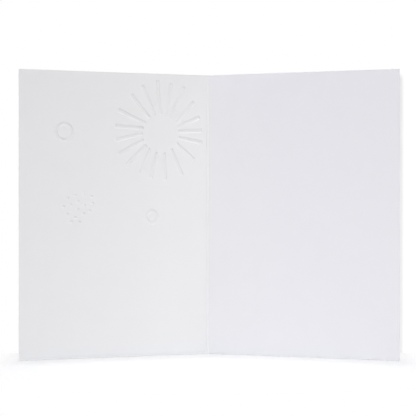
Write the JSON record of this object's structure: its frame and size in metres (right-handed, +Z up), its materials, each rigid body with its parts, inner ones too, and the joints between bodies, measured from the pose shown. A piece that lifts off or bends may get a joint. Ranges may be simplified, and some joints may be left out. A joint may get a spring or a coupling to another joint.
{
  "type": "greeting card",
  "caption": "Folded card of plain white stock, standing half open, with a sun, rings and dots blind embossed on its front cover.",
  "frame": {"origin": "middle of the card's footprint, on the surface that it stands on", "axes": "+Z up along the fold, +X from the front cover towards the back cover, +Y from the open side towards the fold"},
  "size_m": [0.232, 0.0498, 0.1778],
  "materials": {
    "card_stock": "bright white uncoated card stock, smooth and matt, with a faint fibre grain"
  },
  "bodies": {
    "root": {"card": "card_stock"}
  },
  "joints": []
}
